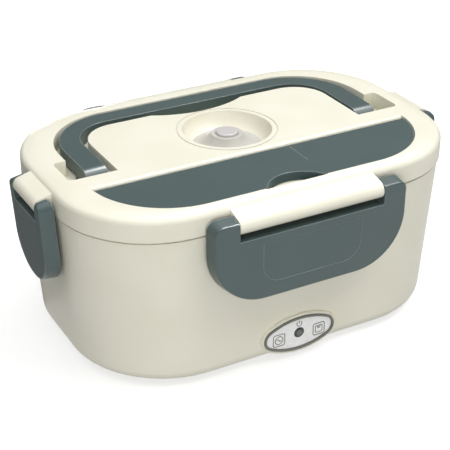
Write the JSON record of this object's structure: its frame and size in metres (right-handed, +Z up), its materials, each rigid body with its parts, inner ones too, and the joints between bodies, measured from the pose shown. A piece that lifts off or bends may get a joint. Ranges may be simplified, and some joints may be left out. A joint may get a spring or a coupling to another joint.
{
  "type": "electric lunch box",
  "caption": "Electric heated lunch box with rounded drafted base, clamp-down lid held by side latches, folding U handle, steam vent, cutlery well, steel food tray and small inner box",
  "frame": {"origin": "On the surface the box stands on, under the middle of its bounding box", "axes": "+X along the long side to the right when the indicator panel is in front, +Y to the back where the power inlets are, +Z up"},
  "size_m": [0.24, 0.1648, 0.1],
  "materials": {
    "cream_plastic": "fine satin",
    "grey_plastic": "satin with soft shine on the edges",
    "liner_plastic": "satin",
    "silicone": "translucent soft matt",
    "vent_button": "satin",
    "bezel_plastic": "satin",
    "panel_plastic": "semi-gloss",
    "lens_plastic": "smoked, glossy",
    "circuit_board": "satin",
    "tray_steel": "fine brushed",
    "spoon_steel": "polished",
    "clear_box_plastic": "frosted",
    "box_lid_plastic": "satin",
    "plate_aluminium": "satin",
    "heater_case": "satin",
    "clamp_steel": "bright zinc",
    "screw_steel": "bright zinc",
    "thermostat_body": "matt phenolic",
    "fuse_body": "matt",
    "inlet_plastic": "satin",
    "contact_brass": "bright",
    "foot_rubber": "matt"
  },
  "bodies": {
    "base": {"base_shell": "cream_plastic", "bottom_cover": "cream_plastic", "cover_screws": "screw_steel", "rubber_feet": "foot_rubber", "inner_liner": "liner_plastic", "heating_plate": "plate_aluminium", "ac_heater": "heater_case", "dc_heater": "heater_case", "heater_clamp": "clamp_steel", "clamp_screws": "screw_steel", "thermostat": "thermostat_body", "thermal_fuse": "fuse_body", "ac_inlet": "inlet_plastic", "ac_pins": "contact_brass", "dc_inlet": "inlet_plastic", "dc_pin": "contact_brass", "panel_bezel": "bezel_plastic", "panel_plate": "panel_plastic", "led_lens": "lens_plastic", "led_board": "circuit_board"},
    "tray": {"food_tray": "tray_steel"},
    "inner_box": {"small_box": "clear_box_plastic"},
    "inner_box_lid": {"small_box_lid": "box_lid_plastic", "small_box_seal": "silicone"},
    "lid": {"lid_shell": "cream_plastic", "lid_liner": "liner_plastic", "lid_seal": "silicone", "vent_seat": "silicone"},
    "plug": {"vent_plug": "vent_button"},
    "cutlery_lid": {"cutlery_cover": "grey_plastic"},
    "cutlery": {"spoon": "spoon_steel"},
    "handle": {"carry_handle": "grey_plastic"},
    "front_latch": {"latch_front": "grey_plastic"},
    "back_latch": {"latch_back": "grey_plastic"},
    "left_latch": {"latch_left": "grey_plastic"},
    "right_latch": {"latch_right": "grey_plastic"}
  },
  "joints": [
    {"name": "lid_lift", "type": "slide", "parent": "base", "child": "lid", "axis": [0, 0, 1], "range_m": [0, 0.16]},
    {"name": "tray_lift", "type": "slide", "parent": "base", "child": "tray", "axis": [0, 0, 1], "range_m": [0, 0.08]},
    {"name": "inner_box_lift", "type": "slide", "parent": "tray", "child": "inner_box", "axis": [0, 0, 1], "range_m": [0, 0.0352]},
    {"name": "inner_box_lid_lift", "type": "slide", "parent": "inner_box", "child": "inner_box_lid", "axis": [0, 0, 1], "range_m": [0, 0.0208]},
    {"name": "front_latch_swing", "type": "hinge", "parent": "lid", "child": "front_latch", "pos_m": [0, -0.0778, 0.091], "axis": [-1, 0, 0], "range_deg": [-2.5, 110]},
    {"name": "back_latch_swing", "type": "hinge", "parent": "lid", "child": "back_latch", "pos_m": [0, 0.0778, 0.091], "axis": [1, 0, 0], "range_deg": [-2.5, 110]},
    {"name": "left_latch_swing", "type": "hinge", "parent": "lid", "child": "left_latch", "pos_m": [-0.1154, 0, 0.091], "axis": [0, 1, 0], "range_deg": [-2.5, 110]},
    {"name": "right_latch_swing", "type": "hinge", "parent": "lid", "child": "right_latch", "pos_m": [0.1154, 0, 0.091], "axis": [0, -1, 0], "range_deg": [-2.5, 110]},
    {"name": "handle_fold", "type": "hinge", "parent": "lid", "child": "handle", "pos_m": [0, 0, 0.092], "axis": [1, 0, 0], "range_deg": [0, 90]},
    {"name": "cutlery_lid_open", "type": "hinge", "parent": "lid", "child": "cutlery_lid", "pos_m": [0, -0.0272, 0.0975], "axis": [-1, 0, 0], "range_deg": [0, 100]},
    {"name": "cutlery_lift", "type": "slide", "parent": "lid", "child": "cutlery", "axis": [0, 0, 1], "range_m": [0, 0.021]},
    {"name": "plug_lift", "type": "slide", "parent": "lid", "child": "plug", "axis": [0, 0, 1], "range_m": [0, 0.006]}
  ],
  "couplings": [
    {"joint": "tray_lift", "follows": "lid_lift", "ratio": 0.5},
    {"joint": "inner_box_lift", "follows": "lid_lift", "ratio": 0.22},
    {"joint": "inner_box_lid_lift", "follows": "lid_lift", "ratio": 0.13},
    {"joint": "cutlery_lift", "follows": "cutlery_lid_open", "m_per_rad": 0.012}
  ]
}
